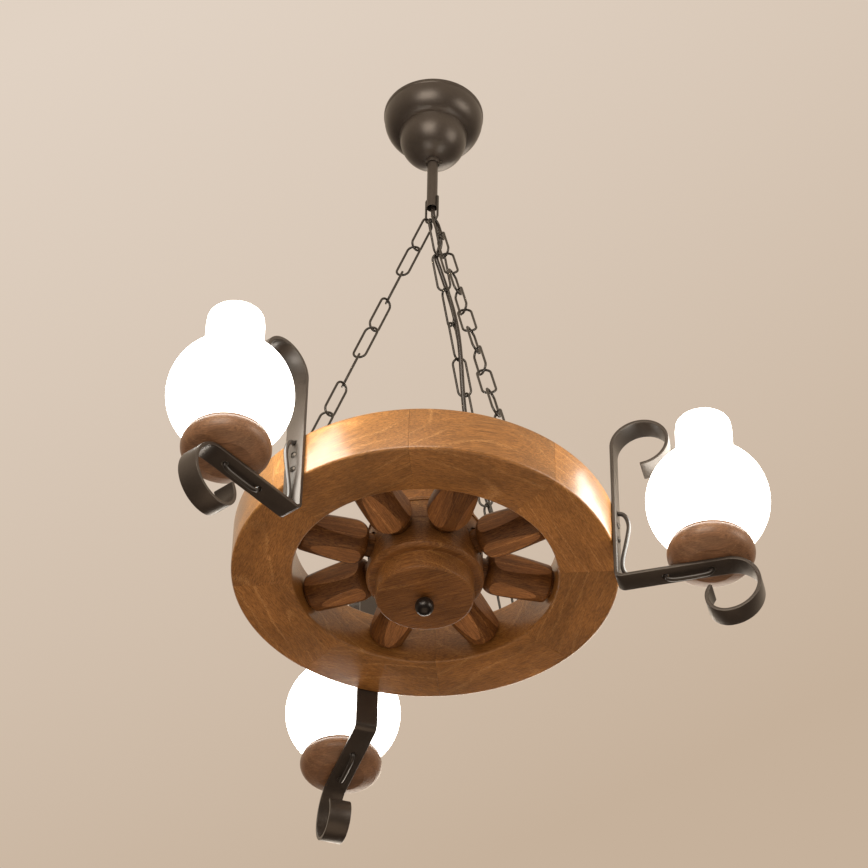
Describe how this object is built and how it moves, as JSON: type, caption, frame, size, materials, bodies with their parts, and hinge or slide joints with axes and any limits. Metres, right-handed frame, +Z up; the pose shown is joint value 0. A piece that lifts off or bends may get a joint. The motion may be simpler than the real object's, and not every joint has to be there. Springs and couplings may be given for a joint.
{
  "type": "chandelier",
  "caption": "Hanging lamp made from a wooden wagon wheel on chains, with opal glass lamps on scrolled iron brackets.",
  "frame": {"origin": "on the ceiling, midway between the two fixing slots, on the stem's axis", "axes": "+Z up into the ceiling, +X along the ceiling strap, -Y towards the camera of the picture"},
  "size_m": [0.6395, 0.6689, 0.87],
  "materials": {
    "lacquered_wood": "satin lacquer over stained beech",
    "dark_wood": "satin lacquer over darker turned wood",
    "bronze_paint": "satin dark bronze powder coat",
    "dark_wire": "satin dark bronze lacquer on steel wire",
    "plated_steel": "bright zinc plate",
    "screw_steel": "darkened steel",
    "opal_glass": "smooth opal white",
    "bulb_glass": "frosted white",
    "ceramic": "unglazed ceramic white",
    "block_plastic": "natural nylon",
    "cable_sheath": "dark brown flexible sheath",
    "black_lacquer": "satin black lacquer over turned wood"
  },
  "bodies": {
    "ceiling": {"ceiling_strap": "plated_steel", "stem_tube": "bronze_paint", "stem_nuts": "plated_steel", "terminal_block": "block_plastic", "stem_cable": "cable_sheath"},
    "canopy_set": {"canopy": "bronze_paint", "canopy_collar": "bronze_paint", "collar_screw": "screw_steel"},
    "bail": {"hanging_bail": "dark_wire"},
    "wheel": {"chain_left": "dark_wire", "chain_far": "dark_wire", "chain_near": "dark_wire", "screw_eyes": "dark_wire", "feed_cable": "cable_sheath", "felloe_1": "lacquered_wood", "felloe_2": "lacquered_wood", "felloe_3": "lacquered_wood", "felloe_4": "lacquered_wood", "felloe_5": "lacquered_wood", "felloe_6": "lacquered_wood", "felloe_7": "lacquered_wood", "felloe_8": "lacquered_wood", "spoke_1": "lacquered_wood", "spoke_2": "lacquered_wood", "spoke_3": "lacquered_wood", "spoke_4": "lacquered_wood", "spoke_5": "lacquered_wood", "spoke_6": "lacquered_wood", "spoke_7": "lacquered_wood", "spoke_8": "lacquered_wood", "hub": "lacquered_wood", "hub_stud": "plated_steel", "rim_wiring": "cable_sheath", "rim_connector": "block_plastic", "bracket_screws": "screw_steel", "bracket_left": "bronze_paint", "bracket_right": "bronze_paint", "bracket_far": "bronze_paint", "lamp_wire_left": "cable_sheath", "lamp_wire_right": "cable_sheath", "lamp_wire_far": "cable_sheath", "cup_left": "dark_wood", "cup_right": "dark_wood", "cup_far": "dark_wood", "cup_nipples": "plated_steel", "cup_nuts": "plated_steel", "holder_left": "ceramic", "holder_right": "ceramic", "holder_far": "ceramic"},
    "finial": {"finial_ball": "black_lacquer"},
    "glass_left": {"shade_left": "opal_glass"},
    "lamp_left": {"bulb_left": "bulb_glass"},
    "glass_right": {"shade_right": "opal_glass"},
    "lamp_right": {"bulb_right": "bulb_glass"},
    "glass_far": {"shade_far": "opal_glass"},
    "lamp_far": {"bulb_far": "bulb_glass"}
  },
  "joints": [
    {"name": "canopy_slide", "type": "slide", "parent": "ceiling", "child": "canopy_set", "axis": [0, 0, -1], "range_m": [0, 0.055]},
    {"name": "bail_swing", "type": "hinge", "parent": "ceiling", "child": "bail", "pos_m": [0, 0, -0.15], "axis": [0.8192, -0.5736, 0], "range_deg": [-10, 10]},
    {"name": "wheel_swing", "type": "hinge", "parent": "bail", "child": "wheel", "pos_m": [0, 0, -0.183], "axis": [0.5736, 0.8192, 0], "range_deg": [-10, 10]},
    {"name": "shade_lift_left", "type": "slide", "parent": "wheel", "child": "glass_left", "axis": [0, 0, 1], "range_m": [0, 0.018]},
    {"name": "shade_lift_right", "type": "slide", "parent": "wheel", "child": "glass_right", "axis": [0, 0, 1], "range_m": [0, 0.018]},
    {"name": "shade_lift_far", "type": "slide", "parent": "wheel", "child": "glass_far", "axis": [0, 0, 1], "range_m": [0, 0.018]},
    {"name": "bulb_unscrew_left", "type": "slide", "parent": "wheel", "child": "lamp_left", "axis": [0, 0, 1], "range_m": [0, 0.022]},
    {"name": "bulb_unscrew_right", "type": "slide", "parent": "wheel", "child": "lamp_right", "axis": [0, 0, 1], "range_m": [0, 0.022]},
    {"name": "bulb_unscrew_far", "type": "slide", "parent": "wheel", "child": "lamp_far", "axis": [0, 0, 1], "range_m": [0, 0.022]},
    {"name": "finial_unscrew", "type": "slide", "parent": "wheel", "child": "finial", "axis": [0, 0, -1], "range_m": [0, 0.008]}
  ]
}
